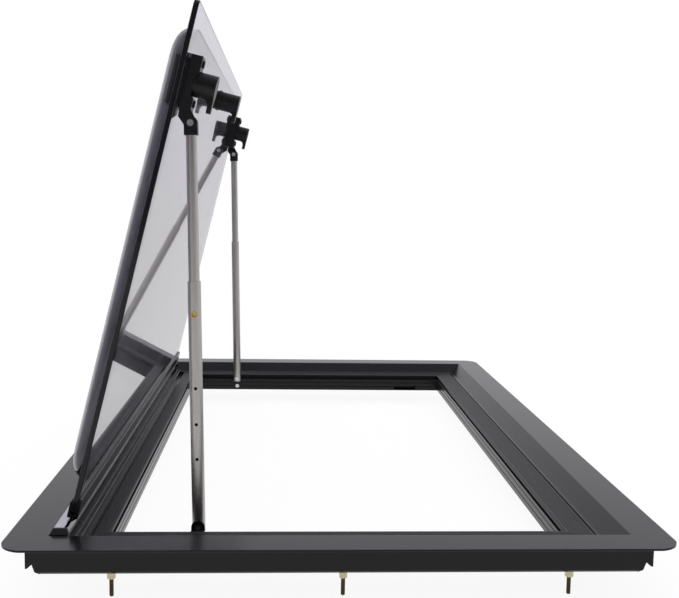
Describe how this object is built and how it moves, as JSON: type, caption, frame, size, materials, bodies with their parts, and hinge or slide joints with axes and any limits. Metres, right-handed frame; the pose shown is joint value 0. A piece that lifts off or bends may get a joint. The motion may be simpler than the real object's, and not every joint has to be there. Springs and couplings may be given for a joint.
{
  "type": "hinged roof vent cover",
  "caption": "Roof hatch for a caravan or camper: black flanged frame and a double acrylic panel on a long hook hinge, held open by telescopic stays and shut by turn latches.",
  "frame": {"origin": "centre of the roof cut-out, on the roof surface under the frame's flange", "axes": "+Z away from the roof; +Y along the hinge; +X from the hinge side to the latch side"},
  "size_m": [0.6, 0.96, 0.5306],
  "materials": {
    "frame_black": "semi-gloss powder coat",
    "key_aluminium": "as cast",
    "seal_rubber": "ribbed matt",
    "hinge_aluminium": "satin anodised",
    "black_plastic": "fine grain",
    "clamp_steel": "dark bronze passivated",
    "yellow_zinc": "yellow zinc plated",
    "bright_steel": "bright zinc plated",
    "acrylic": "polished, light grey tint",
    "tube_aluminium": "satin anodised",
    "brass": "polished"
  },
  "bodies": {
    "frame": {"front_rail": "frame_black", "rear_rail": "frame_black", "hinge_rail": "frame_black", "latch_rail": "frame_black", "corner_keys": "key_aluminium", "front_seal": "seal_rubber", "rear_seal": "seal_rubber", "hinge_seal": "seal_rubber", "latch_seal": "seal_rubber", "hinge_channel": "hinge_aluminium", "hinge_end_caps": "black_plastic", "clamp_bolts": "clamp_steel", "clamp_washers": "yellow_zinc", "clamp_nuts": "yellow_zinc", "near_foot_bracket": "black_plastic", "far_foot_bracket": "black_plastic", "foot_pins": "bright_steel", "foot_screws": "bright_steel"},
    "panel": {"inner_pane": "acrylic", "outer_dome": "acrylic", "panel_hinge_profile": "frame_black", "pane_gasket": "seal_rubber", "near_backing_block": "black_plastic", "far_backing_block": "black_plastic", "centre_backing_block": "black_plastic", "near_latch_base": "black_plastic", "far_latch_base": "black_plastic", "centre_latch_base": "black_plastic", "latch_screws": "bright_steel", "latch_bolts": "bright_steel", "latch_nuts": "bright_steel", "stay_top_rivets": "bright_steel"},
    "near_handle": {"near_latch_handle": "black_plastic", "near_handle_cap": "black_plastic"},
    "far_handle": {"far_latch_handle": "black_plastic", "far_handle_cap": "black_plastic"},
    "centre_handle": {"centre_latch_handle": "black_plastic", "centre_handle_cap": "black_plastic"},
    "near_stay_upper": {"near_upper_tube": "tube_aluminium", "near_stay_cap": "black_plastic"},
    "near_stay_lower": {"near_lower_tube": "tube_aluminium", "near_foot_plug": "black_plastic", "near_button_eyelet": "brass", "near_foot_rivet": "bright_steel"},
    "near_button": {"near_snap_button": "brass", "near_button_spring": "bright_steel"},
    "far_stay_upper": {"far_upper_tube": "tube_aluminium", "far_stay_cap": "black_plastic"},
    "far_stay_lower": {"far_lower_tube": "tube_aluminium", "far_foot_plug": "black_plastic", "far_button_eyelet": "brass", "far_foot_rivet": "bright_steel"},
    "far_button": {"far_snap_button": "brass", "far_button_spring": "bright_steel"}
  },
  "joints": [
    {"name": "panel_hinge", "type": "hinge", "parent": "frame", "child": "panel", "pos_m": [-0.255, 0, 0.002], "axis": [0, 1, 0], "range_deg": [0, 76.3]},
    {"name": "near_latch_turn", "type": "hinge", "parent": "panel", "child": "near_handle", "pos_m": [-0.13586, -0.368, 0.40629], "axis": [-0.9715, 0, 0.2368], "range_deg": [0, 90]},
    {"name": "far_latch_turn", "type": "hinge", "parent": "panel", "child": "far_handle", "pos_m": [-0.13586, 0.368, 0.40629], "axis": [0.9715, 0, -0.2368], "range_deg": [0, 90]},
    {"name": "centre_latch_turn", "type": "hinge", "parent": "panel", "child": "centre_handle", "pos_m": [-0.1316, 0, 0.42377], "axis": [-0.9715, 0, 0.2368], "range_deg": [0, 180]},
    {"name": "near_stay_pivot", "type": "hinge", "parent": "panel", "child": "near_stay_upper", "pos_m": [-0.14439, -0.371, 0.37131], "axis": [0, 1, 0], "range_deg": [0, 15.93]},
    {"name": "near_stay_slide", "type": "slide", "parent": "near_stay_upper", "child": "near_stay_lower", "axis": [-0.02, 0, 0.9998], "range_m": [0, 0.11769]},
    {"name": "near_button_press", "type": "slide", "parent": "near_stay_upper", "child": "near_button", "axis": [0, 1, 0], "range_m": [0, 0.0014], "stiffness_N_per_m": 300, "springref_m": -0.002},
    {"name": "far_stay_pivot", "type": "hinge", "parent": "panel", "child": "far_stay_upper", "pos_m": [-0.14439, 0.371, 0.37131], "axis": [0, 1, 0], "range_deg": [0, 15.93]},
    {"name": "far_stay_slide", "type": "slide", "parent": "far_stay_upper", "child": "far_stay_lower", "axis": [-0.02, 0, 0.9998], "range_m": [0, 0.11769]},
    {"name": "far_button_press", "type": "slide", "parent": "far_stay_upper", "child": "far_button", "axis": [0, -1, 0], "range_m": [0, 0.0014], "stiffness_N_per_m": 300, "springref_m": -0.002}
  ],
  "couplings": [
    {"joint": "near_stay_pivot", "follows": "panel_hinge", "ratio": 0.20865},
    {"joint": "near_stay_slide", "follows": "panel_hinge", "m_per_rad": 0.088339},
    {"joint": "far_stay_pivot", "follows": "panel_hinge", "ratio": 0.20865},
    {"joint": "far_stay_slide", "follows": "panel_hinge", "m_per_rad": 0.088339}
  ]
}
